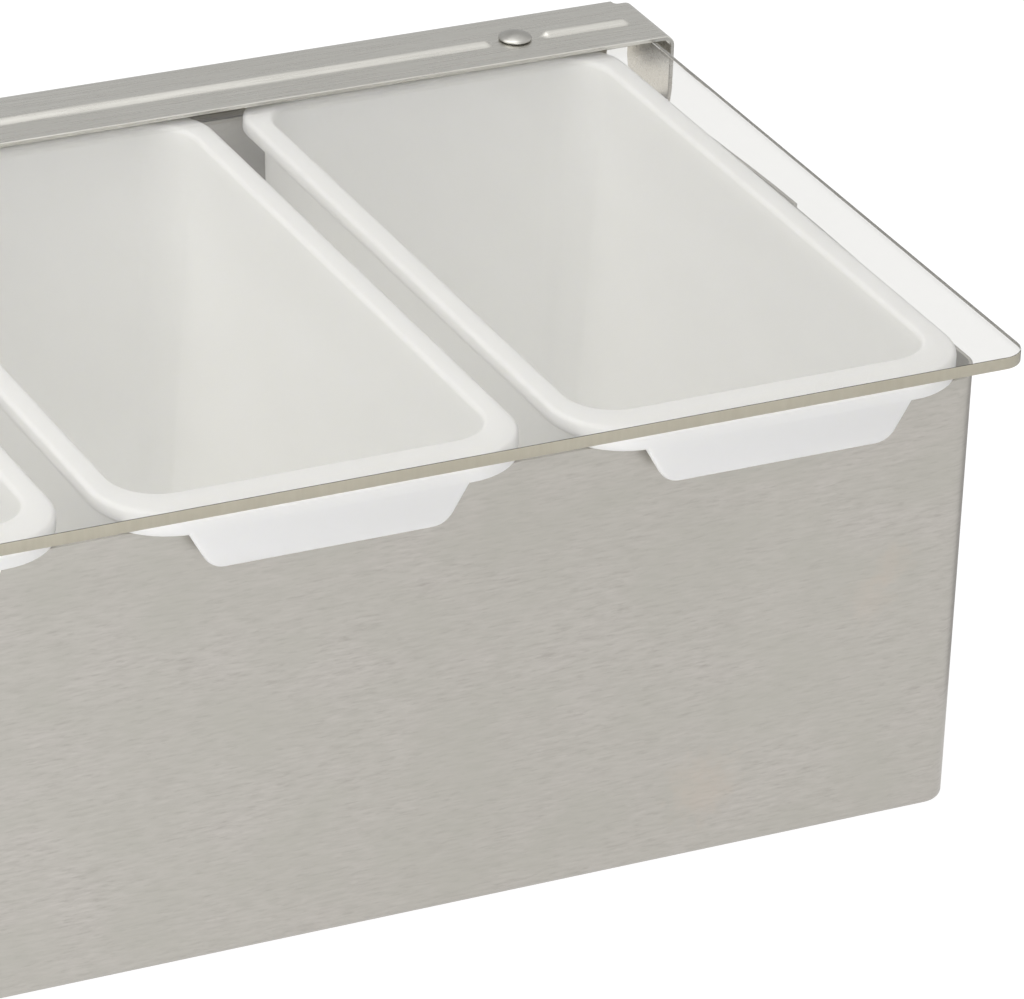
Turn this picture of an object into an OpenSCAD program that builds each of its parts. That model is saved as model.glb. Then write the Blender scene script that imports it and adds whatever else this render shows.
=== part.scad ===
// Condiment caddy: a stainless box with four lift-out plastic inserts under one hinged clear lid.
// Millimetres. X runs along the box, Y from front to back and Z up. Every piece is drawn with the
// outside of the front wall at Y = 0, then moved so that the footprint is centred on the origin.

/* [Box] */
// Height of the box wall
box_h = 88.9; // [70:0.1:120]
// Depth of the box, outside of the front wall to outside of the back wall
box_d = 150.5; // [120:0.5:200]
// Thickness of the stainless sheet
sheet_t = 0.8; // [0.6:0.1:1.2]
// Outside radius of the four upright corners
corner_r = 5; // [3:0.5:8]
// Outside radius of the fold along the bottom edge
fold_r = 1.6; // [1.4:0.1:3]
// Width of the bottom edge that is folded in under the floor plate
return_w = 10; // [6:1:20]
// Overlap of the sheet's two ends at the seam in the right end wall
seam_lap = 12; // [6:1:20]
// Gap between each end wall and the rim of the insert beside it
end_gap = 1.6; // [1:0.1:6]

/* [Inserts] */
// Width of an insert over its rim
rim_w = 81.4; // [60:0.1:110]
// Gap between the rims of two neighbouring inserts
rim_gap = 7.3; // [4:0.1:14]
// Height of the rim above the box wall
rim_rise = 3.2; // [2:0.1:5]
// Play between the rim's underside and the top edge of the box wall that it rests on
seat_play = 0.05; // [0.02:0.01:0.2]
// Outside corner radius of the rim
rim_corner_r = 14; // [8:0.5:16]
// Radius on the rim's upper outer edge
rim_edge_r = 1.2; // [0.6:0.1:1.8]
// How far the rim stands out in front of the box
rim_front = 4.5; // [3:0.1:8]
// How far the rim reaches past the back of the box
rim_back = 0.5; // [0.2:0.1:0.9]
// Width of the rim's top along the sides and the back
rim_side_w = 4.9; // [4:0.1:8]
// Width of the rim's top along the front
rim_front_w = 8.2; // [7.6:0.1:12]
// Wall of the insert
insert_wall = 1.8; // [1.2:0.1:2.2]
// Corner radius of the insert's cavity at its mouth
cavity_r = 9; // [6:0.5:14]
// Radius between the cavity's floor and its walls
cavity_floor_r = 6; // [4:0.5:9]
// Draft of the insert's walls, in degrees
draft = 2.5; // [0.5:0.1:3.5]
// Height of the insert's underside above the box's floor plate
insert_lift = 4.4; // [1:0.1:15]

/* [Finger tab] */
// Width of the finger tab where it leaves the rim
tab_w = 53.7; // [30:0.1:60]
// Width of the finger tab along its lower edge
tab_foot_w = 45; // [24:0.5:50]
// How far the finger tab hangs below the top of the box wall
tab_drop = 7.4; // [6:0.1:20]
// Corner radius at the foot of the finger tab
tab_r = 4.5; // [2:0.5:5]
// Thickness of the finger tab
tab_t = 1.8; // [1:0.1:1.9]

/* [Lid] */
// Thickness of the clear lid
lid_t = 2.4; // [2:0.1:5]
// Gap between the closed lid and the rims
lid_gap = 0.3; // [0.2:0.05:1]
// How far the lid stands out in front of the box
lid_front = 5.6; // [3:0.1:15]
// How far the lid stands out past each end wall
lid_side = 6.6; // [3:0.1:12]
// Radius of the lid's front corners
lid_corner_r = 5; // [3:0.5:20]
// Radius of the lid's back corners
lid_back_r = 3; // [1:0.5:6]
// Gap between the lid's back edge and the bar's rear bend
lid_back_gap = 1; // [0.5:0.1:3]

/* [Hinge bar] */
// Thickness of the hinge bar's sheet
bar_t = 0.9; // [0.7:0.1:1.5]
// How far the bar reaches in front of the back of the box
bar_front = 6.2; // [4:0.1:12]
// How far the bar reaches behind the back of the box
bar_rear = 15.2; // [14.5:0.1:20]
// Outside radius of the bar's bends
bend_r = 2.2; // [1.8:0.1:3]
// Height of the bar's rear flange, over the bend
flange_h = 18; // [12:0.5:19]
// Radius of the rear flange's lower corners
flange_r = 5; // [2:0.5:8]
// Gap between the side of the lid and the ear beside it
ear_gap = 3.15; // [1.5:0.05:6]
// Width of the relief between the rear flange and each ear
relief_w = 3.3; // [2:0.1:6]
// Gap between an ear's back edge and the rear flange
ear_back_gap = 2.2; // [1.5:0.1:5]
// Height of the raised bead along the bar
bead_h = 0.9; // [0.5:0.1:1.2]
// Width of the raised bead
bead_w = 5.2; // [4:0.1:7]

/* [Lid rivets] */
// Distance of the end rivets from the end walls' outside
rivet_inset = 20; // [14:0.5:40]
// Diameter of a rivet's domed head
rivet_head_d = 6.6; // [5:0.1:8]
// Height of a rivet's domed head
rivet_head_h = 1.6; // [1:0.1:2]
// Diameter of a rivet's shank
rivet_d = 3.2; // [2.4:0.1:3.6]
// Diameter of a rivet's closed end under the lid
rivet_tail_d = 5; // [4:0.1:5.4]
// Height of a rivet's closed end
rivet_tail_h = 1; // [0.6:0.1:1.5]
// Gap between a bead's end and the rivet head beside it
bead_gap = 1.2; // [0.5:0.1:5]
// Length of the short beads at the bar's ends
short_bead = 21.5; // [8:0.5:22]

/* [Hinge] */
// Diameter of the hinge rod
rod_d = 4; // [3:0.1:5]
// Height of the hinge rod's middle below the top of the box wall
rod_drop = 13.9; // [12:0.1:30]
// Gap between the hinge rod and the back of the box
rod_gap = 0.6; // [0.3:0.1:1.2]
// Radius of the rounded end of each ear, about the hinge rod
ear_end_r = 7.5; // [5:0.5:8]
// Radial clearance of the hinge rod in the ears
ear_fit = 0.08; // [0.03:0.01:0.1]
// Radial clearance of the hinge rod in its clips and caps
rod_fit = 0.04; // [0.02:0.01:0.1]
// Width of a rod clip, along the rod
clip_w = 16; // [8:1:30]
// Thickness of a rod clip's sheet
clip_t = 0.8; // [0.6:0.1:1.2]
// Height of each of a rod clip's two feet on the back wall
clip_foot = 4.6; // [3:0.1:6]
// Distance of each rod clip from the end wall beside it
clip_inset = 44; // [20:1:70]
// Diameter of the cap on each end of the rod
cap_d = 7.4; // [6:0.1:9]
// Length of the cap, outside the ear
cap_l = 2.6; // [2:0.1:5]
// Wall left over the rod's end inside the cap
cap_wall = 0.9; // [0.6:0.1:1.4]
// Running gap between an ear and the cap outside it
cap_gap = 0.2; // [0.1:0.05:0.5]

/* [Hidden] */

insert_count = 4;
insert_pitch = rim_w + rim_gap;
box_w = insert_count * insert_pitch - rim_gap + 2 * (end_gap + sheet_t);
past = 1;              // how far a cutting or joining shape reaches past the face that it meets
slice = 0.01;          // height of the thin outlines that a cup is drawn between
least_corner_r = 1.5;  // smallest corner that an insert tapers down to
plate_inset = fold_r + sheet_t / 2;   // keeps the floor plate clear of the fold's inside radius
seam_z0 = max(fold_r, 2 * sheet_t);

// Inserts, measured from the middle of the insert and the front of the box
rim_top_z = box_h + rim_rise;
rim_z0 = box_h + seat_play;
rim_y0 = -rim_front;
rim_y1 = box_d + rim_back;
mouth_w = rim_w - 2 * rim_side_w;
mouth_y0 = rim_y0 + rim_front_w;
mouth_y1 = rim_y1 - rim_side_w;
insert_z0 = 2 * sheet_t + insert_lift;
cavity_z0 = insert_z0 + insert_wall;

// Lid and hinge bar, closed
lid_z0 = rim_top_z + lid_gap;
bar_z0 = lid_z0 + lid_t;
bar_z1 = bar_z0 + bar_t;
bar_y0 = box_d - bar_front;
bar_y1 = box_d + bar_rear;
lid_w = box_w + 2 * lid_side;
lid_y1 = bar_y1 - bend_r - lid_back_gap;
ear_x0 = lid_w / 2 + ear_gap;
ear_x1 = ear_x0 + bar_t;
ear_y1 = bar_y1 - bar_t - ear_back_gap;
flange_z0 = bar_z1 - flange_h;
flange_x = ear_x0 - relief_w;

// Rivets stand on the middle line of the bar's flat top
rivet_y = (bar_y0 + bar_y1 - bend_r) / 2;
rivet_x = box_w / 2 - rivet_inset;
rivet_fit = 0.05;   // radial clearance of the rivets' shanks
rivet_hole_d = rivet_d + 2 * rivet_fit;
bead_end = rivet_head_d / 2 + bead_gap;
bead_r = (bead_w * bead_w / 4 + bead_h * bead_h) / (2 * bead_h);

// Hinge rod, behind the back of the box and square to the ears
rod_y = box_d + rod_gap + rod_d / 2;
rod_z = box_h - rod_drop;
cap_x0 = ear_x1 + cap_gap;
rod_end_x = cap_x0 + cap_l - cap_wall;
clip_x = box_w / 2 - clip_inset;

// Moves a piece from the front wall's frame to the middle of the footprint
shift_y = -(bar_y1 - lid_front) / 2;

steel = [0.72, 0.71, 0.69];
plain_steel = [0.62, 0.61, 0.6];
milky = [0.93, 0.94, 0.93];
clear = [0.9, 0.92, 0.9, 0.35];

$fn = 64;

// Flat outline from (-w/2, y0) to (w/2, y1), with corner radius r, or back_r along y1
module round_rect(w, y0, y1, r, back_r = 0) {
    rb = back_r > 0 ? back_r : r;
    translate([-w / 2, y0 + r]) square([w, y1 - y0 - r - rb]);
    translate([-w / 2 + r, y0]) square([w - 2 * r, r]);
    translate([-w / 2 + rb, y1 - rb]) square([w - 2 * rb, rb]);
    for (s = [-1, 1]) {
        translate([s * (w / 2 - r), y0 + r]) circle(r);
        translate([s * (w / 2 - rb), y1 - rb]) circle(rb);
    }
}

// Upright block with round corners r and its lower edge rounded to e
module folded_block(w, y0, y1, h, r, e) {
    translate([0, 0, e]) linear_extrude(h - e) round_rect(w, y0, y1, r);
    linear_extrude(e) round_rect(w - 2 * e, y0 + e, y1 - e, r - e);
    for (y = [y0 + e, y1 - e])
        translate([-w / 2 + r, y, e]) rotate([0, 90, 0]) cylinder(h = w - 2 * r, r = e);
    for (x = [-w / 2 + e, w / 2 - e])
        translate([x, y0 + r, e]) rotate([-90, 0, 0]) cylinder(h = y1 - y0 - 2 * r, r = e);
    for (x = [-w / 2 + r, w / 2 - r], y = [y0 + r, y1 - r])
        translate([x, y, e]) rotate_extrude() {
            translate([r - e, 0]) intersection() {
                circle(e);
                translate([0, -e]) square([e, 2 * e]);
            }
        }
}

// Wrapped sheet wall, its lower edge folded in, with a lapped seam in the right end wall
module box_wall() color(steel) translate([0, shift_y, 0]) {
    difference() {
        folded_block(box_w, 0, box_d, box_h, corner_r, fold_r);
        translate([0, 0, sheet_t])
            folded_block(box_w - 2 * sheet_t, sheet_t, box_d - sheet_t, box_h,
                         corner_r - sheet_t, fold_r - sheet_t);
        translate([0, 0, -past]) linear_extrude(sheet_t + 2 * past)
            round_rect(box_w - 2 * return_w, return_w, box_d - return_w, corner_r);
    }
    translate([box_w / 2 - 2 * sheet_t, box_d / 2 - seam_lap, seam_z0])
        cube([sheet_t, seam_lap, box_h - seam_z0]);
}

// Floor plate, spot-welded down onto the folded edge
module floor_plate() color(plain_steel) translate([0, shift_y, sheet_t]) linear_extrude(sheet_t)
    round_rect(box_w - 2 * plate_inset, plate_inset, box_d - plate_inset, corner_r - sheet_t);

// Tapered cup with round corners and a round-edged floor
module cup(w, y0, y1, z0, z1, r, floor_r) {
    lean = (z1 - z0) * tan(draft);
    low = max(r - lean, least_corner_r);
    hull() {
        translate([0, 0, z1 - slice]) linear_extrude(slice) round_rect(w, y0, y1, r, $fn = 32);
        for (a = [0 : 30 : 90]) {
            inset = lean + floor_r * (1 - cos(a));
            translate([0, 0, z0 + floor_r * (1 - sin(a))]) linear_extrude(slice)
                round_rect(w - 2 * inset, y0 + inset, y1 - inset, low, $fn = 32);
        }
    }
}

// Rim with a rounded upper edge, as a solid block
module rim_block() {
    translate([0, 0, rim_top_z]) mirror([0, 0, 1])
        folded_block(rim_w, rim_y0, rim_y1, rim_top_z - rim_z0, rim_corner_r, rim_edge_r, $fn = 32);
}

// Finger tab: an upright tongue with slanted sides that hangs from the front of the rim
module finger_tab() {
    tab_z = box_h - tab_drop;
    slant = (tab_w - tab_foot_w) / 2;
    top_z = rim_z0 + past;
    side_a = atan2(rim_z0 - tab_z, slant);
    translate([0, rim_y0 + tab_t, 0]) rotate([90, 0, 0]) linear_extrude(tab_t) {
        difference() {
            polygon([[-tab_w / 2, rim_z0], [-tab_foot_w / 2, tab_z], [tab_foot_w / 2, tab_z],
                     [tab_w / 2, rim_z0], [tab_w / 2, top_z], [-tab_w / 2, top_z]]);
            for (s = [-1, 1])
                translate([s * tab_foot_w / 2, tab_z]) mirror([s > 0 ? 1 : 0, 0])
                    foot_corner(side_a);
        }
    }
}

// What rounding takes away at the tab's left lower corner, whose side leans out
module foot_corner(side_a) {
    reach = tab_r / tan((180 - side_a) / 2);
    difference() {
        polygon([[0, 0], [reach, 0], [reach, tab_r], [-reach * cos(side_a), reach * sin(side_a)]]);
        translate([reach, tab_r]) circle(tab_r);
    }
}

// One lift-out insert, k = 0 at the left end
module insert(k) {
    x = (k - (insert_count - 1) / 2) * insert_pitch;
    color(milky) translate([x, shift_y, 0]) difference() {
        union() {
            rim_block();
            cup(mouth_w + 2 * insert_wall, mouth_y0 - insert_wall, mouth_y1 + insert_wall,
                insert_z0, rim_z0 + past, cavity_r + insert_wall, cavity_floor_r + insert_wall);
            finger_tab();
        }
        cup(mouth_w, mouth_y0, mouth_y1, cavity_z0, rim_top_z + slice, cavity_r, cavity_floor_r);
    }
}

module insert_1() insert(0);
module insert_2() insert(1);
module insert_3() insert(2);
module insert_4() insert(3);

// Clear lid, drilled for the three rivets
module lid_panel() color(clear) translate([0, shift_y, lid_z0])
    difference() {
        linear_extrude(lid_t) round_rect(lid_w, -lid_front, lid_y1, lid_corner_r, lid_back_r);
        for (x = [-rivet_x, 0, rivet_x])
            translate([x, rivet_y, -past]) cylinder(h = lid_t + 2 * past, d = rivet_hole_d);
    }

// Half-round bead with round ends that shows from x0 to x1, grown by g and cut off below z
module bead(x0, x1, z, g) {
    r = bead_r + g;
    in = bead_w / 2;
    intersection() {
        translate([0, rivet_y, bar_z1 + bead_h - bead_r]) union() {
            translate([x0 + in, 0, 0]) rotate([0, 90, 0]) cylinder(h = x1 - x0 - 2 * in, r = r);
            for (x = [x0 + in, x1 - in]) translate([x, 0, 0]) sphere(r);
        }
        translate([x0 - bead_r, rivet_y - bead_w, z])
            cube([x1 - x0 + 2 * bead_r, 2 * bead_w, 3 * bead_r]);
    }
}

// Both long beads and both short ones, as the ranges of x that they cover
bead_runs = [[-rivet_x - bead_end - short_bead, -rivet_x - bead_end],
             [-rivet_x + bead_end, -bead_end],
             [bead_end, rivet_x - bead_end],
             [rivet_x + bead_end, rivet_x + bead_end + short_bead]];

// Section of a sheet that turns down at its far edge: flat top, bend and leg.
// The sheet's top is at y = 0, its outer face at x = 0, and the flat runs to x = -run.
module turned_sheet(run, leg) {
    translate([-run, -bar_t]) square([run - bend_r, bar_t]);
    translate([-bar_t, -leg]) square([bar_t, leg - bend_r]);
    intersection() {
        translate([-bend_r, -bend_r]) difference() {
            circle(bend_r);
            circle(bend_r - bar_t);
        }
        translate([-bend_r, -bend_r]) square(bend_r);
    }
}

// One ear, at the right end: the bar's end turned down to a rounded foot around the rod
module ear() {
    leg = bar_z1 - rod_z;
    difference() {
        union() {
            translate([ear_x1, ear_y1, bar_z1]) rotate([90, 0, 0])
                linear_extrude(ear_y1 - bar_y0) turned_sheet(bend_r + past, leg);
            translate([ear_x0, rod_y, rod_z]) rotate([0, 90, 0]) cylinder(h = bar_t, r = ear_end_r);
        }
        // Slants from the straight edges to the rounded foot
        translate([ear_x0 - past, 0, 0]) rotate([90, 0, 90]) linear_extrude(bar_t + 2 * past) {
            polygon([[bar_y0 - past, rod_z - past], [rod_y - ear_end_r, rod_z - past],
                     [rod_y - ear_end_r, rod_z], [bar_y0, rod_z + ear_end_r],
                     [bar_y0 - past, rod_z + ear_end_r]]);
            polygon([[ear_y1 + past, rod_z - past], [rod_y + ear_end_r, rod_z - past],
                     [rod_y + ear_end_r, rod_z], [ear_y1, rod_z + ear_end_r],
                     [ear_y1 + past, rod_z + ear_end_r]]);
        }
        translate([ear_x0 - past, rod_y, rod_z]) rotate([0, 90, 0])
            cylinder(h = bar_t + 2 * past, d = rod_d + 2 * ear_fit);
    }
}

// Hinge bar: flat top over the lid's back edge, rear flange, two ears and raised beads
module hinge_bar() color(steel) translate([0, shift_y, 0])
    difference() {
        union() {
            // Flat top between the ears
            translate([-ear_x1 + bend_r, bar_y0, bar_z0])
                cube([2 * (ear_x1 - bend_r), ear_y1 - bar_y0, bar_t]);
            // Flat behind the ears, then the rear bend and flange
            translate([-flange_x, bar_y1, bar_z1]) rotate([90, 0, 90])
                linear_extrude(2 * flange_x) turned_sheet(bar_y1 - ear_y1 + past, flange_h);
            ear();
            mirror([1, 0, 0]) ear();
            for (b = bead_runs) bead(b[0], b[1], bar_z0 + bar_t / 2, 0);
        }
        for (b = bead_runs) bead(b[0], b[1], bar_z0 - past, -bar_t);
        for (x = [-rivet_x, 0, rivet_x])
            translate([x, rivet_y, bar_z0 - past]) cylinder(h = bar_t + 2 * past, d = rivet_hole_d);
        // Rounded lower corners of the rear flange
        for (s = [-1, 1])
            translate([s * flange_x, bar_y1 + past, flange_z0]) rotate([90, 0, 0])
                linear_extrude(bar_t + 2 * past) mirror([s > 0 ? 1 : 0, 0]) difference() {
                    translate([-past, -past]) square(flange_r + past);
                    translate([flange_r, flange_r]) circle(flange_r);
                }
    }

// Lid rivet: domed head on the bar, shank, and an end closed under the lid
module lid_rivet(x) {
    dome_r = (rivet_head_d * rivet_head_d / 4 + rivet_head_h * rivet_head_h) / (2 * rivet_head_h);
    color(steel) translate([x, shift_y + rivet_y, 0]) {
        intersection() {
            translate([0, 0, bar_z1 + rivet_head_h - dome_r]) sphere(dome_r);
            translate([0, 0, bar_z1]) cylinder(h = rivet_head_h + past, d = rivet_head_d + past);
        }
        translate([0, 0, lid_z0 - rivet_tail_h / 2])
            cylinder(h = bar_z1 - lid_z0 + (rivet_tail_h + rivet_head_h) / 2, d = rivet_d);
        translate([0, 0, lid_z0 - rivet_tail_h]) cylinder(h = rivet_tail_h, d = rivet_tail_d);
    }
}

module lid_rivet_left() lid_rivet(-rivet_x);
module lid_rivet_centre() lid_rivet(0);
module lid_rivet_right() lid_rivet(rivet_x);

// Hinge rod, from cap to cap
module hinge_rod() color(plain_steel) translate([-rod_end_x, shift_y + rod_y, rod_z])
    rotate([0, 90, 0]) cylinder(h = 2 * rod_end_x, d = rod_d);

// Saddle clip that holds the rod to the back wall: two flat feet and an arch over the rod
module rod_clip(x) {
    bore_r = rod_d / 2 + rod_fit;
    arch_r = bore_r + clip_t;
    color(plain_steel) translate([x - clip_w / 2, shift_y, rod_z]) rotate([90, 0, 90])
        linear_extrude(clip_w) difference() {
            union() {
                translate([box_d, -arch_r - clip_foot]) square([clip_t, 2 * (arch_r + clip_foot)]);
                translate([box_d, -arch_r]) square([rod_y - box_d, 2 * arch_r]);
                translate([rod_y, 0]) circle(arch_r);
            }
            translate([rod_y, 0]) circle(bore_r);
            translate([box_d - past, -bore_r]) square([rod_y - box_d + past, 2 * bore_r]);
        }
}

module rod_clip_left() rod_clip(-clip_x);
module rod_clip_right() rod_clip(clip_x);

// Domed cap pressed on the rod's end outside the ear
module rod_cap(side) {
    edge = cap_d / 8;
    color(steel) translate([0, shift_y + rod_y, rod_z]) rotate([0, side * 90, 0])
        difference() {
            translate([0, 0, cap_x0]) rotate_extrude() {
                square([cap_d / 2 - edge, cap_l]);
                square([cap_d / 2, cap_l - edge]);
                translate([cap_d / 2 - edge, cap_l - edge]) intersection() {
                    circle(edge);
                    square(edge);
                }
            }
            translate([0, 0, cap_x0 - past])
                cylinder(h = cap_l - cap_wall + past, d = rod_d + 2 * rod_fit);
        }
}

module rod_cap_left() rod_cap(-1);
module rod_cap_right() rod_cap(1);

box_wall();
floor_plate();
insert_1();
insert_2();
insert_3();
insert_4();
lid_panel();
hinge_bar();
lid_rivet_left();
lid_rivet_centre();
lid_rivet_right();
hinge_rod();
rod_clip_left();
rod_clip_right();
rod_cap_left();
rod_cap_right();
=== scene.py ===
# Condiment caddy with one flip lid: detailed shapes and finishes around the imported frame.
import math

import bmesh
import bpy
from mathutils import Matrix, Vector


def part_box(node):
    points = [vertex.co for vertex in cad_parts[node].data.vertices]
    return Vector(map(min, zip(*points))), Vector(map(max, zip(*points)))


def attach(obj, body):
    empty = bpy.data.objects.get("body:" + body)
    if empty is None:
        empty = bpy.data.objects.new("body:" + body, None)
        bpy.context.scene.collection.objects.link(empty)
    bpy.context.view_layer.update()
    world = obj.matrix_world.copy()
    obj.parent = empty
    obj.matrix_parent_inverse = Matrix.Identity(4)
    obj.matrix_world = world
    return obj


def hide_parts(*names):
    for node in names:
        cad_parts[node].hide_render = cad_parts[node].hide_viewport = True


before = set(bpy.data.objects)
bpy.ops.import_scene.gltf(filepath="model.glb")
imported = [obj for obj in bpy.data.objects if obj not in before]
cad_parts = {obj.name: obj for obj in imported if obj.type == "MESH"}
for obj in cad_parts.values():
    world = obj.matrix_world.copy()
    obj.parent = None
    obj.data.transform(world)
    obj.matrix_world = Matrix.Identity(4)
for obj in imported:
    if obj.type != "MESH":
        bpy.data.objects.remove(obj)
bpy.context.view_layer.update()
mm = 0.001
boxLow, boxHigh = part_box("box_wall")
barLow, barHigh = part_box("hinge_bar")
lidLow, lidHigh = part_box("lid_panel")
rodLow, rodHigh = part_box("hinge_rod")
wallTop = boxHigh.z
rodY = (rodLow.y + rodHigh.y) / 2
rodZ = (rodLow.z + rodHigh.z) / 2
print("frame loaded, box", [round(v / mm, 1) for v in boxHigh - boxLow], "mm")


# shapes

def roundedRing(x0, x1, y0, y1, radius, back, steps=12):
    # a rounded rectangle, back being the radius of its corners at y1
    corners = ((x1 - back, y1 - back, back), (x0 + back, y1 - back, back),
               (x0 + radius, y0 + radius, radius), (x1 - radius, y0 + radius, radius))
    ring = []
    for quarter, (cx, cy, r) in enumerate(corners):
        for i in range(steps + 1):
            turn = math.pi / 2 * (quarter + i / steps)
            ring.append((cx + r * math.cos(turn), cy + r * math.sin(turn)))
    return ring


def skin(rings):
    # quads between neighbouring rings, and a flat face on the first and the last
    count = len(rings[0])
    verts = [v for ring in rings for v in ring]
    faces = []
    for k in range(len(rings) - 1):
        low, high = k * count, (k + 1) * count
        for i in range(count):
            j = (i + 1) % count
            faces.append((low + i, low + j, high + j, high + i))
    last = (len(rings) - 1) * count
    faces.append(tuple(reversed(range(count))))
    faces.append(tuple(range(last, last + count)))
    return verts, faces


def makePiece(name, verts, faces, materials):
    mesh = bpy.data.meshes.new(name)
    mesh.from_pydata([tuple(v) for v in verts], [], faces)
    for material in materials:
        mesh.materials.append(material)
    piece = bpy.data.objects.new(name, mesh)
    bpy.context.scene.collection.objects.link(piece)
    return piece


def setMaterials(piece, *materials):
    piece.data.materials.clear()
    for material in materials:
        piece.data.materials.append(material)


def faceOutwards(piece):
    shape = bmesh.new()
    shape.from_mesh(piece.data)
    bmesh.ops.remove_doubles(shape, verts=shape.verts, dist=1e-7)
    bmesh.ops.recalc_face_normals(shape, faces=shape.faces)
    shape.to_mesh(piece.data)
    shape.free()


def bakeModifiers(piece):
    graph = bpy.context.evaluated_depsgraph_get()
    graph.update()
    old = piece.data
    piece.data = bpy.data.meshes.new_from_object(piece.evaluated_get(graph), depsgraph=graph)
    piece.modifiers.clear()
    bpy.data.meshes.remove(old)


def smooth(piece, angle):
    piece.data.polygons.foreach_set("use_smooth", [True] * len(piece.data.polygons))
    piece.data.set_sharp_from_angle(angle=math.radians(angle))


def cutWith(piece, tool, operation="DIFFERENCE"):
    cut = piece.modifiers.new("cut", "BOOLEAN")
    cut.object, cut.operation, cut.solver = tool, operation, "EXACT"
    bakeModifiers(piece)
    bpy.data.objects.remove(tool)


def roundEdges(piece, width, segments, angle):
    edge = piece.modifiers.new("edge", "BEVEL")
    edge.width, edge.segments, edge.limit_method = width, segments, "ANGLE"
    edge.angle_limit, edge.use_clamp_overlap = math.radians(angle), False
    bakeModifiers(piece)


def lathe(profile, steps):
    # profile is (radius, height) from one end of the axis to the other, round Z
    rings = [[(r * math.cos(2 * math.pi * i / steps), r * math.sin(2 * math.pi * i / steps), z)
              for i in range(steps)] for r, z in profile]
    return skin(rings)


def arc(cx, cy, r, start, end, steps):
    return [(cx + r * math.cos(math.radians(start + (end - start) * i / steps)),
             cy + r * math.sin(math.radians(start + (end - start) * i / steps)))
            for i in range(steps + 1)]


def put(piece, body, slot, *nodes):
    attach(piece, body)
    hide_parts(*nodes)


# geometry nodes

def newTree(name, inputs):
    tree = bpy.data.node_groups.new(name, "GeometryNodeTree")
    tree.interface.new_socket("Geometry", in_out="INPUT", socket_type="NodeSocketGeometry")
    for label, kind in inputs:
        tree.interface.new_socket(label, in_out="INPUT", socket_type="NodeSocket" + kind)
    tree.interface.new_socket("Geometry", in_out="OUTPUT", socket_type="NodeSocketGeometry")
    return tree, tree.nodes.new("NodeGroupInput"), tree.nodes.new("NodeGroupOutput")


def addNode(tree, kind, links=None, **settings):
    node = tree.nodes.new(kind)
    for key, value in settings.items():
        setattr(node, key, value)
    for socket, source in (links or {}).items():
        if isinstance(source, bpy.types.NodeSocket):
            tree.links.new(source, node.inputs[socket])
        else:
            node.inputs[socket].default_value = source
    return node


def runTree(piece, tree, values):
    modifier = piece.modifiers.new("nodes", "NODES")
    modifier.node_group = tree
    sockets = {s.name: s.identifier for s in tree.interface.items_tree
               if s.item_type == "SOCKET" and s.in_out == "INPUT"}
    for label, value in values.items():
        modifier[sockets[label]] = value


def repeatTree():
    # copies of the piece's own mesh in a row along X, each turned by Turn more than the last
    tree, given, result = newTree("repeatInRow", (
        ("Count", "Int"), ("Start", "Vector"), ("Step", "Vector"), ("Turn", "Vector"),
        ("Material", "Material")))
    row = addNode(tree, "GeometryNodeMeshLine", {
        "Count": given.outputs["Count"], "Start Location": given.outputs["Start"],
        "Offset": given.outputs["Step"]})
    index = addNode(tree, "GeometryNodeInputIndex")
    turn = addNode(tree, "ShaderNodeVectorMath", {0: given.outputs["Turn"]}, operation="SCALE")
    tree.links.new(index.outputs[0], turn.inputs["Scale"])
    copies = addNode(tree, "GeometryNodeInstanceOnPoints", {
        "Points": row.outputs[0], "Instance": given.outputs["Geometry"],
        "Rotation": turn.outputs[0]})
    real = addNode(tree, "GeometryNodeRealizeInstances", {0: copies.outputs[0]})
    dressed = addNode(tree, "GeometryNodeSetMaterial", {
        "Geometry": real.outputs[0], "Material": given.outputs["Material"]})
    tree.links.new(dressed.outputs[0], result.inputs[0])
    return tree


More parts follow.
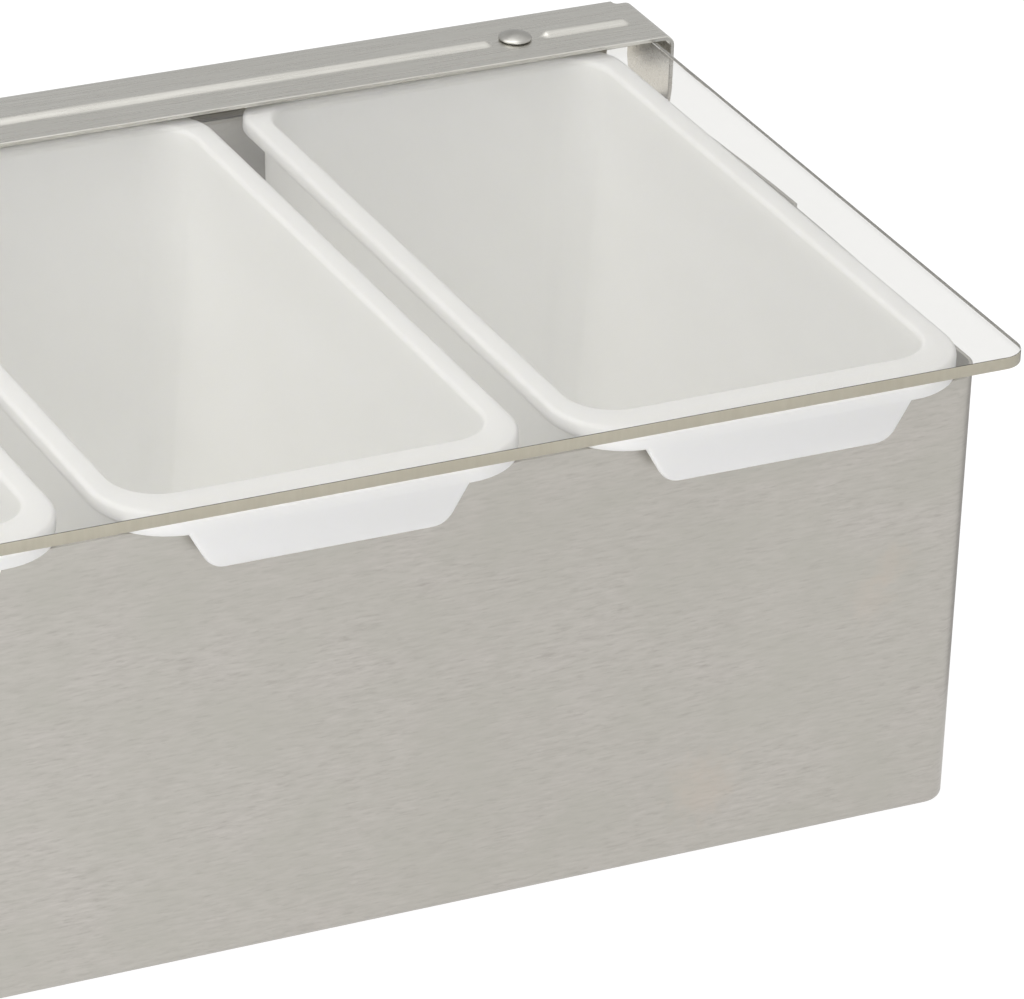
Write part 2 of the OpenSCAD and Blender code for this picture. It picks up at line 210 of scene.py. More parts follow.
def drilledSheetTree():
    # a plate drilled on a row of holes, with a Front Radius and a Back Radius on its corners
    tree, given, result = newTree("drilledSheet", (
        ("Width", "Float"), ("Depth", "Float"), ("Thickness", "Float"),
        ("Front Radius", "Float"), ("Back Radius", "Float"), ("Centre", "Vector"),
        ("Hole Count", "Int"), ("Hole Start", "Vector"), ("Hole Step", "Vector"),
        ("Hole Radius", "Float"), ("Material", "Material")))
    plate = addNode(tree, "GeometryNodeCurvePrimitiveQuadrilateral", {
        "Width": given.outputs["Width"], "Height": given.outputs["Depth"]})
    position = addNode(tree, "GeometryNodeInputPosition")
    parts = addNode(tree, "ShaderNodeSeparateXYZ", {0: position.outputs[0]})
    atBack = combined(tree, "GREATER_THAN", parts.outputs["Y"], 0.0)
    radius = addNode(tree, "GeometryNodeSwitch", {
        "Switch": atBack, "False": given.outputs["Front Radius"],
        "True": given.outputs["Back Radius"]}, input_type="FLOAT")
    outline = addNode(tree, "GeometryNodeFilletCurve", {
        "Curve": plate.outputs[0], "Radius": radius.outputs[0],
        "Limit Radius": False, "Count": 20}, mode="POLY")
    row = addNode(tree, "GeometryNodeMeshLine", {
        "Count": given.outputs["Hole Count"], "Start Location": given.outputs["Hole Start"],
        "Offset": given.outputs["Hole Step"]})
    circle = addNode(tree, "GeometryNodeCurvePrimitiveCircle", {
        "Resolution": 32, "Radius": given.outputs["Hole Radius"]})
    holes = addNode(tree, "GeometryNodeInstanceOnPoints", {
        "Points": row.outputs[0], "Instance": circle.outputs[0]})
    holeCurves = addNode(tree, "GeometryNodeRealizeInstances", {0: holes.outputs[0]})
    joined = addNode(tree, "GeometryNodeJoinGeometry")
    tree.links.new(outline.outputs[0], joined.inputs[0])
    tree.links.new(holeCurves.outputs[0], joined.inputs[0])
    face = addNode(tree, "GeometryNodeFillCurve", {"Curve": joined.outputs[0]}, mode="NGONS")
    raised = addNode(tree, "GeometryNodeExtrudeMesh", {
        "Mesh": face.outputs[0], "Offset": (0, 0, 1), "Individual": False,
        "Offset Scale": given.outputs["Thickness"]}, mode="FACES")
    under = addNode(tree, "GeometryNodeFlipFaces", {0: face.outputs[0]})
    whole = addNode(tree, "GeometryNodeJoinGeometry")
    tree.links.new(raised.outputs[0], whole.inputs[0])
    tree.links.new(under.outputs[0], whole.inputs[0])
    welded = addNode(tree, "GeometryNodeMergeByDistance", {
        "Geometry": whole.outputs[0], "Distance": 1e-7})
    placed = addNode(tree, "GeometryNodeTransform", {
        "Geometry": welded.outputs[0], "Translation": given.outputs["Centre"]})
    real = addNode(tree, "GeometryNodeRealizeInstances", {0: placed.outputs[0]})
    dressed = addNode(tree, "GeometryNodeSetMaterial", {
        "Geometry": real.outputs[0], "Material": given.outputs["Material"]})
    tree.links.new(dressed.outputs[0], result.inputs[0])
    return tree


def wireTree():
    # a round wire from Start to End
    tree, given, result = newTree("straightWire", (
        ("Start", "Vector"), ("End", "Vector"), ("Radius", "Float"), ("Material", "Material")))
    line = addNode(tree, "GeometryNodeCurvePrimitiveLine", {
        "Start": given.outputs["Start"], "End": given.outputs["End"]})
    stations = addNode(tree, "GeometryNodeResampleCurve", {"Curve": line.outputs[0], "Count": 40})
    section = addNode(tree, "GeometryNodeCurvePrimitiveCircle", {
        "Resolution": 40, "Radius": given.outputs["Radius"]})
    wire = addNode(tree, "GeometryNodeCurveToMesh", {
        "Curve": stations.outputs[0], "Profile Curve": section.outputs[0], "Fill Caps": True})
    real = addNode(tree, "GeometryNodeRealizeInstances", {0: wire.outputs[0]})
    dressed = addNode(tree, "GeometryNodeSetMaterial", {
        "Geometry": real.outputs[0], "Material": given.outputs["Material"]})
    tree.links.new(dressed.outputs[0], result.inputs[0])
    return tree


# materials

def newMaterial(name):
    material = bpy.data.materials.new(name)
    material.use_nodes = True
    tree = material.node_tree
    tree.nodes.clear()
    output = tree.nodes.new("ShaderNodeOutputMaterial")
    surface = tree.nodes.new("ShaderNodeBsdfPrincipled")
    tree.links.new(surface.outputs[0], output.inputs["Surface"])
    place = tree.nodes.new("ShaderNodeTexCoord").outputs["Object"]
    return material, tree, surface, output, place


def noise(tree, place, stretch, detail, rough=0.55, shift=(0, 0, 0)):
    mapping = addNode(tree, "ShaderNodeMapping", {
        "Vector": place, "Scale": stretch, "Location": shift})
    return addNode(tree, "ShaderNodeTexNoise", {
        "Vector": mapping.outputs[0], "Scale": 1.0, "Detail": detail,
        "Roughness": rough}).outputs["Fac"]


def ranged(tree, value, low, high, fromLow=0.3, fromHigh=0.7):
    return addNode(tree, "ShaderNodeMapRange", {
        "Value": value, "From Min": fromLow, "From Max": fromHigh,
        "To Min": low, "To Max": high}).outputs[0]


def blend(tree, factor, first, second, kind="MIX"):
    node = addNode(tree, "ShaderNodeMix", data_type="RGBA", blend_type=kind)
    for socket, source in ((0, factor), (6, first), (7, second)):
        if isinstance(source, bpy.types.NodeSocket):
            tree.links.new(source, node.inputs[socket])
        else:
            node.inputs[socket].default_value = source
    return node.outputs[2]


def combined(tree, operation, first, second):
    # two numbers of a node tree, or a number and a socket, through one Math node
    node = addNode(tree, "ShaderNodeMath", {0: first, 1: second}, operation=operation)
    return node.outputs[0]


def spotMask(tree, place, centre, radius):
    # 1 at the spot's middle and 0 past its ragged edge
    away = addNode(tree, "ShaderNodeVectorMath", {0: place, 1: centre}, operation="DISTANCE")
    swing = 0.35 * radius
    ragged = ranged(tree, noise(tree, place, (420, 420, 420), 3), -swing, swing)
    reach = combined(tree, "ADD", away.outputs["Value"], ragged)
    return ranged(tree, reach, 1.0, 0.0, 0.25 * radius, radius)


def grained(tree, surface, pattern, look, swing, relief):
    # roughness that follows a pattern, and a bump of it, relief being its height in metres
    tree.links.new(ranged(tree, pattern, look["rough"] - swing, look["rough"] + swing),
                   surface.inputs["Roughness"])
    raised = addNode(tree, "ShaderNodeBump", {
        "Height": pattern, "Strength": look["bump"], "Distance": relief})
    tree.links.new(raised.outputs[0], surface.inputs["Normal"])


def mixTo(tree, output, factor, first, second):
    # the first shader where factor is 0, and the second where it is 1
    mixed = addNode(tree, "ShaderNodeMixShader", {
        0: factor, 1: first.outputs[0], 2: second.outputs[0]})
    tree.links.new(mixed.outputs[0], output.inputs["Surface"])


def brushedSteel(name, look):
    material, tree, surface, _, place = newMaterial(name)
    grain = noise(tree, place, look["grain"], 6, 0.62)
    flecks = noise(tree, place, look["flecks"], 3, 0.5, (7, 3, 5))
    clouds = noise(tree, place, look["clouds"], 3, 0.5, (2, 9, 4))
    light, dark = look["light"], look["dark"]
    colour = blend(tree, ranged(tree, grain, 0, 1, 0.32, 0.68), dark, light)
    colour = blend(tree, ranged(tree, flecks, 0, look["fleckDepth"], 0.55, 0.75), colour,
                   look["fleckColour"])
    colour = blend(tree, ranged(tree, clouds, 0, look["cloudDepth"]), colour, look["cloudColour"])
    for centre, radius, tint, depth in look.get("spots", ()):
        mask = combined(tree, "MULTIPLY", spotMask(tree, place, centre, radius), depth)
        colour = blend(tree, mask, colour, tint)
    # painted light: colour multiplied along one axis, standing in for shade and reflections
    for axis, start, end, tint, depth in look.get("paintedLightFades", ()):
        along = addNode(tree, "ShaderNodeSeparateXYZ", {0: place}).outputs[axis]
        colour = blend(tree, ranged(tree, along, 0, depth, start, end), colour, tint, "MULTIPLY")
    tree.links.new(colour, surface.inputs["Base Color"])
    surface.inputs["Metallic"].default_value = 1.0
    grained(tree, surface, grain, look, swing=0.05, relief=0.00003)
    return material


def milkyPlastic(name, look):
    material, tree, surface, output, place = newMaterial(name)
    flow = noise(tree, place, look["flow"], 3)
    fine = noise(tree, place, look["fine"], 2)
    tree.links.new(blend(tree, ranged(tree, flow, 0, 1), look["dark"], look["light"]),
                   surface.inputs["Base Color"])
    surface.inputs["Subsurface Weight"].default_value = look["subsurface"]
    surface.inputs["Subsurface Radius"].default_value = look["spread"]
    surface.inputs["Subsurface Scale"].default_value = look["depth"]
    surface.inputs["IOR"].default_value = look["ior"]
    surface.inputs["Specular IOR Level"].default_value = look["shine"]
    grained(tree, surface, fine, look, swing=0.05, relief=0.00004)
    # part of the lamps' light comes through the thin walls
    path = tree.nodes.new("ShaderNodeLightPath")
    passing = addNode(tree, "ShaderNodeBsdfTransparent", {"Color": look["passing"]})
    mixTo(tree, output, path.outputs["Is Shadow Ray"], surface, passing)
    return material


def clearSheet(look):
    material, tree, surface, output, place = newMaterial("clearSheet")
    haze = noise(tree, place, look["haze"], 3)
    tree.links.new(blend(tree, ranged(tree, haze, 0, 1), look["tint"], look["tintTwo"]),
                   surface.inputs["Base Color"])
    surface.inputs["Transmission Weight"].default_value = 1.0
    surface.inputs["IOR"].default_value = sheetIor
    tree.links.new(ranged(tree, haze, 0.0, look["rough"]), surface.inputs["Roughness"])
    # lamps and soft bounced light pass straight through the sheet
    path = tree.nodes.new("ShaderNodeLightPath")
    passing = addNode(tree, "ShaderNodeBsdfTransparent", {"Color": look["passing"]})
    soft = combined(tree, "MAXIMUM", path.outputs["Is Shadow Ray"], path.outputs["Is Diffuse Ray"])
    mixTo(tree, output, soft, surface, passing)
    return material


def sawnEdge(name, look):
    material, tree, surface, _, place = newMaterial(name)
    marks = noise(tree, place, look["marks"], 4)
    patches = noise(tree, place, look["patches"], 2)
    colour = blend(tree, ranged(tree, marks, 0, 0.6), look["colour"], look["light"])
    colour = blend(tree, ranged(tree, patches, 0, 0.5), colour, look["dark"])
    tree.links.new(colour, surface.inputs["Base Color"])
    surface.inputs["IOR"].default_value = sheetIor
    grained(tree, surface, marks, look, swing=0.08, relief=0.00005)
    return material


sheetIor = 1.585  # of the lid, on its faces and its sawn edges
heatTint = (0.58, 0.49, 0.41, 1)
front = boxLow.y
steelLooks = {  # spots: centre, radius, tint and depth; paintedLightFades: axis, start, end, tint and depth of painted light (painted shade on the box, painted warm reflection on the bar)
    "box": {
        "grain": (240, 240, 1500), "flecks": (330, 330, 2100), "clouds": (70, 70, 100),
        "light": (0.535, 0.512, 0.481, 1), "dark": (0.445, 0.425, 0.395, 1),
        "fleckColour": (0.32, 0.302, 0.277, 1), "fleckDepth": 0.42,
        "cloudColour": (0.455, 0.446, 0.404, 1), "cloudDepth": 0.6,
        "rough": 0.40, "bump": 0.16,
        "spots": (((boxHigh.x - 0.0528, front, 0.014), 0.0085, heatTint, 0.24),
                  ((boxHigh.x - 0.0166, front, 0.0533), 0.0050, heatTint, 0.17),
                  ((boxHigh.x - 0.0206, front, 0.0470), 0.0060, heatTint, 0.15),
                  ((boxLow.x + 0.0590, front, 0.0135), 0.0080, heatTint, 0.16),
                  ((boxHigh.x, 0.030, 0.014), 0.0080, heatTint, 0.25),
                  ((boxHigh.x, -0.045, 0.014), 0.0080, heatTint, 0.25)),
        # painted shade: the box's sheet darker towards its right end
        "paintedLightFades": (("X", boxHigh.x - 0.25, boxHigh.x - 0.10, (0.925, 0.920, 0.915, 1), 1.0),),
    },
    "plate": {
        "grain": (80, 1400, 1400), "flecks": (200, 2200, 2200), "clouds": (18, 18, 18),
        "light": (0.46, 0.45, 0.43, 1), "dark": (0.40, 0.39, 0.37, 1),
        "fleckColour": (0.30, 0.29, 0.28, 1), "fleckDepth": 0.3,
        "cloudColour": (0.42, 0.40, 0.38, 1), "cloudDepth": 0.6,
        "rough": 0.46, "bump": 0.12,
    },
    "bar": {
        "grain": (50, 1600, 1600), "flecks": (140, 2600, 2600), "clouds": (20, 30, 30),
        "light": (0.675, 0.664, 0.622, 1), "dark": (0.602, 0.590, 0.548, 1),
        "fleckColour": (0.42, 0.405, 0.370, 1), "fleckDepth": 0.3,
        "cloudColour": (0.580, 0.565, 0.520, 1), "cloudDepth": 0.5,
        "rough": 0.29, "bump": 0.14,
        # painted warm reflection and shade: the flange and ears, low on the bar, tinted brown
        "paintedLightFades": (("Z", barHigh.z - 0.006, barHigh.z - 0.012, (1.0, 0.90, 0.76, 1), 0.5),),
    },
    "rivet": {
        "grain": (500, 500, 500), "flecks": (900, 900, 900), "clouds": (150, 150, 150),
        "light": (0.47, 0.462, 0.435, 1), "dark": (0.41, 0.402, 0.375, 1),
        "fleckColour": (0.31, 0.295, 0.270, 1), "fleckDepth": 0.3,
        "cloudColour": (0.40, 0.388, 0.360, 1), "cloudDepth": 0.5,
        "rough": 0.36, "bump": 0.10,
    },
    "rod": {
        "grain": (30, 1800, 1800), "flecks": (90, 2600, 2600), "clouds": (40, 40, 40),
        "light": (0.55, 0.54, 0.52, 1), "dark": (0.47, 0.46, 0.44, 1),
        "fleckColour": (0.34, 0.33, 0.31, 1), "fleckDepth": 0.3,
        "cloudColour": (0.48, 0.465, 0.44, 1), "cloudDepth": 0.5,
        "rough": 0.30, "bump": 0.12,
    },
}
steel = {name: brushedSteel(name + "Steel", look) for name, look in steelLooks.items()}
plasticLook = {
    "light": (0.978, 0.979, 0.965, 1), "dark": (0.970, 0.971, 0.957, 1),
    "flow": (26, 26, 40), "fine": (900, 900, 900), "bump": 0.12,
    "subsurface": 1.0, "spread": (1.0, 1.0, 0.95), "depth": 0.003,
    "ior": 1.5, "rough": 0.50, "shine": 0.18, "passing": (0.975, 0.97, 0.955, 1)}
plastic = milkyPlastic("milkyPlastic", plasticLook)
# painted shade: a darker, rougher copy of the plastic for the cups' inner walls
shadedInsidePlastic = milkyPlastic("shadedInsidePlastic", {
    **plasticLook, "light": (0.920, 0.921, 0.909, 1), "dark": (0.890, 0.891, 0.878, 1),
    "rough": 0.55, "passing": (0.90, 0.89, 0.87, 1)})
clear = clearSheet({
    "tint": (0.862, 0.857, 0.839, 1), "tintTwo": (0.847, 0.842, 0.822, 1),
    "haze": (60, 14, 60), "rough": 0.012, "passing": (0.99, 0.988, 0.98, 1)})
sawnLook = {"marks": (700, 700, 90), "patches": (24, 24, 24), "rough": 0.38, "bump": 0.2}
frontEdge = sawnEdge("frontEdge", {
    **sawnLook, "colour": (0.475, 0.440, 0.350, 1), "light": (0.555, 0.520, 0.425, 1),
    "dark": (0.42, 0.385, 0.300, 1)})
# painted shade: a darker copy of the sawn edge for the lid's sideways-facing edges
shadedSideEdge = sawnEdge("shadedSideEdge", {
    **sawnLook, "colour": (0.30, 0.290, 0.265, 1), "light": (0.37, 0.360, 0.335, 1),
    "dark": (0.26, 0.250, 0.225, 1)})
print("materials made:", len(bpy.data.materials))


# box

boxSheet = {
    "thickness": 0.8 * mm, "cornerRadius": 5 * mm, "foldRadius": 1.6 * mm,
    "returnWidth": 10 * mm, "lap": 12 * mm, "lapGap": 0.06 * mm, "easing": 45 * mm,
    "bow": 1.7 * mm, "bowFall": 4.0, "bowRise": 1.3, "edgeRound": 0.18 * mm,
    "levels": 16, "cornerSteps": 10, "endSteps": 30, "longSteps": 8,
}


def boxSection(s):
    # (inset, height) once round the sheet's section: outside up, inside down, folded return
    t, e, lipRound = s["thickness"], s["foldRadius"], s["edgeRound"]
    section = [(s["returnWidth"], 0.0), (s["returnWidth"] - 0.4 * mm, 0.0)]
    section += [(e - e * math.sin(a), e - e * math.cos(a))
                for a in (math.pi / 2 * i / 6 for i in range(7))]
    rise = wallTop - lipRound - e
    section += [(0.0, e + rise * i / s["levels"]) for i in range(1, s["levels"] + 1)]
    section += [(lipRound - lipRound * math.cos(a), wallTop - lipRound + lipRound * math.sin(a))
                for a in (math.pi / 4, math.pi / 2)]
    section += [(t - lipRound + lipRound * math.sin(a),
                 wallTop - lipRound + lipRound * math.cos(a))
                for a in (0, math.pi / 4, math.pi / 2)]
    section += [(t, wallTop - lipRound - rise * i / s["levels"])
                for i in range(1, s["levels"] + 1)]
    section += [(e - (e - t) * math.cos(a), e - (e - t) * math.sin(a))
                for a in (math.pi / 2 * i / 4 for i in range(1, 5))]
    section += [(s["returnWidth"] - 0.4 * mm, t), (s["returnWidth"], t)]
    return section


def boxStations(s):
    # (u, v, turn, tuck) along the wrapped sheet: u and v run from -1 to 1 over the straight
    # stretches, turn is the wall's facing, and tuck is the share of a sheet it lies further in
    halfY = (boxHigh.y - boxLow.y) / 2 - s["cornerRadius"]
    lapV, easeV = s["lap"] / halfY, s["easing"] / halfY
    stations = []
    for i in range(s["endSteps"] + 1):
        v = lapV + (-1 - lapV) * i / s["endSteps"]
        ease = min(max(1 + v / easeV, 0.0), 1.0)
        stations.append((1, v, 0.0, ease * ease * (3 - 2 * ease)))
    sides = ((1, -1, -1, -1, s["longSteps"]), (-1, -1, -1, 1, s["endSteps"]),
             (-1, 1, 1, 1, s["longSteps"]), (1, 1, 1, 0, s["endSteps"] // 2))
    for quarter, (u0, v0, u1, v1, steps) in enumerate(sides):
        for i in range(1, s["cornerSteps"] + 1):
            turn = -math.pi / 2 * (quarter + i / s["cornerSteps"])
            stations.append((u0, v0, turn, 0.0))
        for i in range(1, steps + 1):
            k = i / steps
            stations.append((u0 + (u1 - u0) * k, v0 + (v1 - v0) * k, turn, 0.0))
    return stations


def makeBox(s):
    centre = (boxLow + boxHigh) / 2
    half = (boxHigh - boxLow) / 2
    section = boxSection(s)
    rings = []
    for u, v, turn, tuck in boxStations(s):
        facing = math.cos(turn)
        ring = []
        for inset, z in section:
            # past the fold the corners keep their radius
            r = s["cornerRadius"] - (inset if inset < s["foldRadius"] + mm else 0.0)
            y = v * (half.y - inset - r) + r * math.sin(turn)
            x = u * (half.x - inset - r) + r * facing
            swell = max(math.cos(math.pi * y / (2 * half.y)), 0.0) ** s["bowFall"]
            x += facing * s["bow"] * swell * (z / wallTop) ** s["bowRise"]
            x -= tuck * (s["thickness"] + s["lapGap"])
            ring.append((centre.x + x, centre.y + y, z))
        rings.append(ring)
    verts, faces = skin(rings)
    piece = makePiece("boxShell", verts, faces, [steel["box"]])
    faceOutwards(piece)
    smooth(piece, 40)
    return piece


boxShell = makeBox(boxSheet)
put(boxShell, "caddy", "box_steel", "box_wall")
setMaterials(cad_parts["floor_plate"], steel["plate"])
print("box made")


# inserts

insertShape = {
    "rimRadius": 14 * mm, "rimHeight": 3.15 * mm, "rimEdge": 0.95 * mm, "rimFoot": 0.4 * mm,
    "rimBackRadius": 10.5 * mm, "side": 4.9 * mm, "frontTop": 8.2 * mm,
    "mouthRadius": 9 * mm, "mouthEdge": 0.9 * mm,
    "wall": 1.8 * mm, "floorRadius": 6 * mm, "draft": 2.5,
}
tabShape = {
    "width": 53.7 * mm, "foot": 45 * mm, "drop": 7.4 * mm, "radius": 4.5 * mm,
    "thickness": 1.8 * mm, "edge": 0.45 * mm, "shift": -0.8 * mm,
}


def insertRings(low, high, s):
    lean = math.tan(math.radians(s["draft"]))
    levels = []  # (side inset, front inset, front and back corner radius, height)
    top, base = high.z, low.z
    seatZ = top - s["rimHeight"]
    support = 0.2 * mm

    def cup(z, out):
        corner = max(s["mouthRadius"] - out, mm)
        levels.append((s["side"] + out, s["frontTop"] + out, corner, corner, z))

    def rim(inset, z):
        levels.append((inset, inset, s["rimRadius"] - inset, s["rimBackRadius"] - inset, z))

    def outside(z, extra=0.0):
        cup(z, (seatZ + mm - z) * lean - s["wall"] + extra)

    def inside(z, extra=0.0):
        cup(z, (top - z) * lean + extra)

    outerFoot = s["floorRadius"] + s["wall"]
    footZ = base + outerFoot
    for i in range(9):
        a = math.pi / 2 * (1 - i / 8)
        z = footZ - outerFoot * math.sin(a)
        outside(z, outerFoot * (1 - math.cos(a)) - (footZ - z) * lean)
    for i in range(1, 6):
        outside(footZ + (seatZ - footZ) * i / 5)
    edge = s["rimFoot"]
    rim(edge + support, seatZ)
    for i in range(4):
        a = math.pi / 2 * (1 - i / 3)
        rim(edge * (1 - math.cos(a)), seatZ + edge * (1 - math.sin(a)))
    bevel = s["rimEdge"]
    for i in range(7):
        a = math.pi / 2 * i / 6
        rim(bevel * (1 - math.cos(a)), top - bevel + bevel * math.sin(a))
    rim(bevel + support, top)
    soft = s["mouthEdge"]
    cup(top, -soft - support)
    cup(top, -soft)
    for i in range(1, 9):
        a = math.pi / 2 * i / 8
        inside(top - soft * (1 - math.cos(a)), -soft * (1 - math.sin(a)))
    floorZ = base + s["wall"]
    bendZ = floorZ + s["floorRadius"]
    for i in range(1, 9):
        inside(top - soft + (bendZ - top + soft) * i / 8)
    for i in range(1, 9):
        a = math.pi / 2 * i / 8
        z = bendZ - s["floorRadius"] * math.sin(a)
        inside(z, s["floorRadius"] * (1 - math.cos(a)) - (bendZ - z) * lean)
    inside(floorZ, s["floorRadius"] + support - s["floorRadius"] * lean)
    return [[(x, y, z) for x, y in roundedRing(
        low.x + side, high.x - side, low.y + ahead, high.y - side, radius, back)]
        for side, ahead, radius, back, z in levels]


def tabOutline(s, topZ, footZ):
    # half-widths and heights of the tongue, its foot corners rounded
    lean = (s["width"] - s["foot"]) / 2
    side = math.atan2(topZ - footZ, lean)
    reach = s["radius"] / math.tan((math.pi - side) / 2)
    right = [(s["width"] / 2, topZ + mm), (s["width"] / 2, topZ)]
    cx, cz = s["foot"] / 2 - reach, footZ + s["radius"]
    right += arc(cx, cz, s["radius"], math.degrees(side) - 90, -90, 10)
    return right + [(-x, z) for x, z in reversed(right)]


def makeTab(low, high, s, lipZ):
    middle = (low.x + high.x) / 2 + s["shift"]
    footZ = wallTop - s["drop"]
    outline = tabOutline(s, lipZ, footZ)
    rings = [[(middle + x, y, z) for x, z in outline] for y in (low.y, low.y + s["thickness"])]
    verts, faces = skin(rings)
    tab = makePiece("tab", verts, faces, [plastic])
    faceOutwards(tab)
    roundEdges(tab, s["edge"], 3, 60)
    return tab


def makeInsert(node, name):
    low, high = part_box(node)
    verts, faces = skin(insertRings(low, high, insertShape))
    piece = makePiece(name, verts, faces, [plastic])
    faceOutwards(piece)
    cutWith(piece, makeTab(low, high, tabShape, high.z - insertShape["rimHeight"]), "UNION")
    setMaterials(piece, plastic, shadedInsidePlastic)
    middle = (low + high) / 2
    for face in piece.data.polygons:
        # the cup's inner walls, past the mouth's edge, are rougher than the rest and darker as
        # painted shade
        toMiddle = (middle - face.center).xy
        wall = toMiddle.dot(face.normal.xy) > 0
        floor = face.normal.z > 0.7 and face.center.z < middle.z
        behindTab = face.center.y > low.y + insertShape["frontTop"] - mm
        below = face.center.z < high.z - insertShape["mouthEdge"]
        face.material_index = 1 if below and behindTab and wall and not floor else 0
    smooth(piece, 40)
    put(piece, "caddy", "insert_plastic", node)
    return piece


for number in (1, 2, 3, 4):
    makeInsert(f"insert_{number}", f"insertTray{number}")
print("inserts made")


# lid

lidSheet = {
    "frontRadius": 5 * mm, "backRadius": 3 * mm, "edge": 0.16 * mm, "rivetInset": 20 * mm,
}
rivetHole = 1.65 * mm  # radius, in the lid and the bar
rivetX = boxHigh.x - lidSheet["rivetInset"]
rivetLow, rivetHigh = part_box("lid_rivet_centre")
rivetY = (rivetLow.y + rivetHigh.y) / 2


def makeLid(s):
    piece = makePiece("lidSheet", [(0, 0, 0)], [], [])
    centre = (lidLow + lidHigh) / 2
    runTree(piece, drilledSheetTree(), {
        "Width": lidHigh.x - lidLow.x, "Depth": lidHigh.y - lidLow.y,
        "Thickness": lidHigh.z - lidLow.z, "Front Radius": s["frontRadius"],
        "Back Radius": s["backRadius"], "Centre": (centre.x, centre.y, lidLow.z),
        "Hole Count": 3, "Hole Start": (-rivetX, rivetY - centre.y, 0),
        "Hole Step": (rivetX, 0, 0), "Hole Radius": rivetHole, "Material": clear})
    bakeModifiers(piece)
    faceOutwards(piece)
    roundEdges(piece, s["edge"], 2, 60)
    setMaterials(piece, clear, frontEdge, shadedSideEdge)
    smooth(piece, 30)
    for face in piece.data.polygons:
        # edges facing sideways take the darker copy of the sawn edge, painted shade
        across = abs(face.normal.x) > abs(face.normal.y)
        face.material_index = (2 if across else 1) if abs(face.normal.z) < 0.5 else 0
        face.use_smooth = abs(face.normal.z) < 0.99
    return piece


lidPlate = makeLid(lidSheet)
put(lidPlate, "lid", "lid_plastic", "lid_panel")
print("lid made")


# hinge bar

barSheet = {
    "thickness": 0.9 * mm, "bend": 2.2 * mm, "reliefRadius": 0.8 * mm, "flangeRadius": 5 * mm,
    "footRadius": 7.5 * mm, "earRear": 3.1 * mm, "flangeEnd": 4.2 * mm, "edge": 0.14 * mm,
    "beadHeight": 0.9 * mm, "beadHalf": 2.6 * mm, "beadGap": 4.5 * mm, "shortBead": 21.5 * mm,
    "boreRadius": 2.08 * mm, "barStep": 12 * mm, "flangeStep": 4 * mm,
}
headHeight = 1.6 * mm  # a rivet's head on the bar
barTop = rivetHigh.z - headHeight
flangeBottom = min(v.co.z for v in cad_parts["hinge_bar"].data.vertices
                   if v.co.y > barHigh.y - 0.1 * mm)


def foldSheet(u, v, lift, s):
    # a point of the flat pattern, lift above its outer side, on the folded bar
    arcLength = math.pi / 2 * s["bend"]
    side = math.copysign(1, u)
    flatU, flatV = barHigh.x - s["bend"], barHigh.y - s["bend"]

    def bent(value, flat):
        if value <= flat:
            return value, 0.0, 0.0
        if value <= flat + arcLength:
            a = (value - flat) / s["bend"]
            return flat + s["bend"] * math.sin(a), s["bend"] * (1 - math.cos(a)), a
        return flat + s["bend"], s["bend"] + value - flat - arcLength, math.pi / 2

    x, downX, turnX = bent(abs(u), flatU)
    y, downY, turnY = bent(v, flatV)
    z = barTop - downX - downY
    if turnX > 0:
        return side * (x + lift * math.sin(turnX)), y, z + lift * math.cos(turnX)
    return side * x, y + lift * math.sin(turnY), z + lift * math.cos(turnY)


def barPattern(s):
    # right half of the flat pattern, from the middle of the front edge to the middle of the flange
    arcLength = math.pi / 2 * s["bend"]
    drop = barTop - rodZ - s["bend"]
    rodU = barHigh.x - s["bend"] + arcLength + drop
    straightU = rodU - s["footRadius"]
    earV = barHigh.y - s["earRear"]
    flangeU = barHigh.x - s["flangeEnd"]
    flangeV = barHigh.y - s["bend"] + arcLength + (barTop - flangeBottom - s["bend"])
    r, f = s["reliefRadius"], s["flangeRadius"]
    half = [(straightU, barLow.y)]
    half += arc(rodU, rodY, s["footRadius"], -90, 90, 20)
    half += [(straightU, earV)]
    half += arc(flangeU + r, earV + r, r, 270, 180, 5)
    half += arc(flangeU - f, flangeV - f, f, 0, 90, 10)
    return half


def beadLift(u, v, runs, s):
    # height of the pressed beads at a point of the flat pattern
    best = math.inf
    for start, end in runs:
        near = min(max(u, start + s["beadHalf"]), end - s["beadHalf"])
        best = min(best, math.hypot(u - near, v - rivetY))
    if best >= s["beadHalf"]:
        return 0.0
    return s["beadHeight"] * (0.5 + 0.5 * math.cos(math.pi * best / s["beadHalf"]))


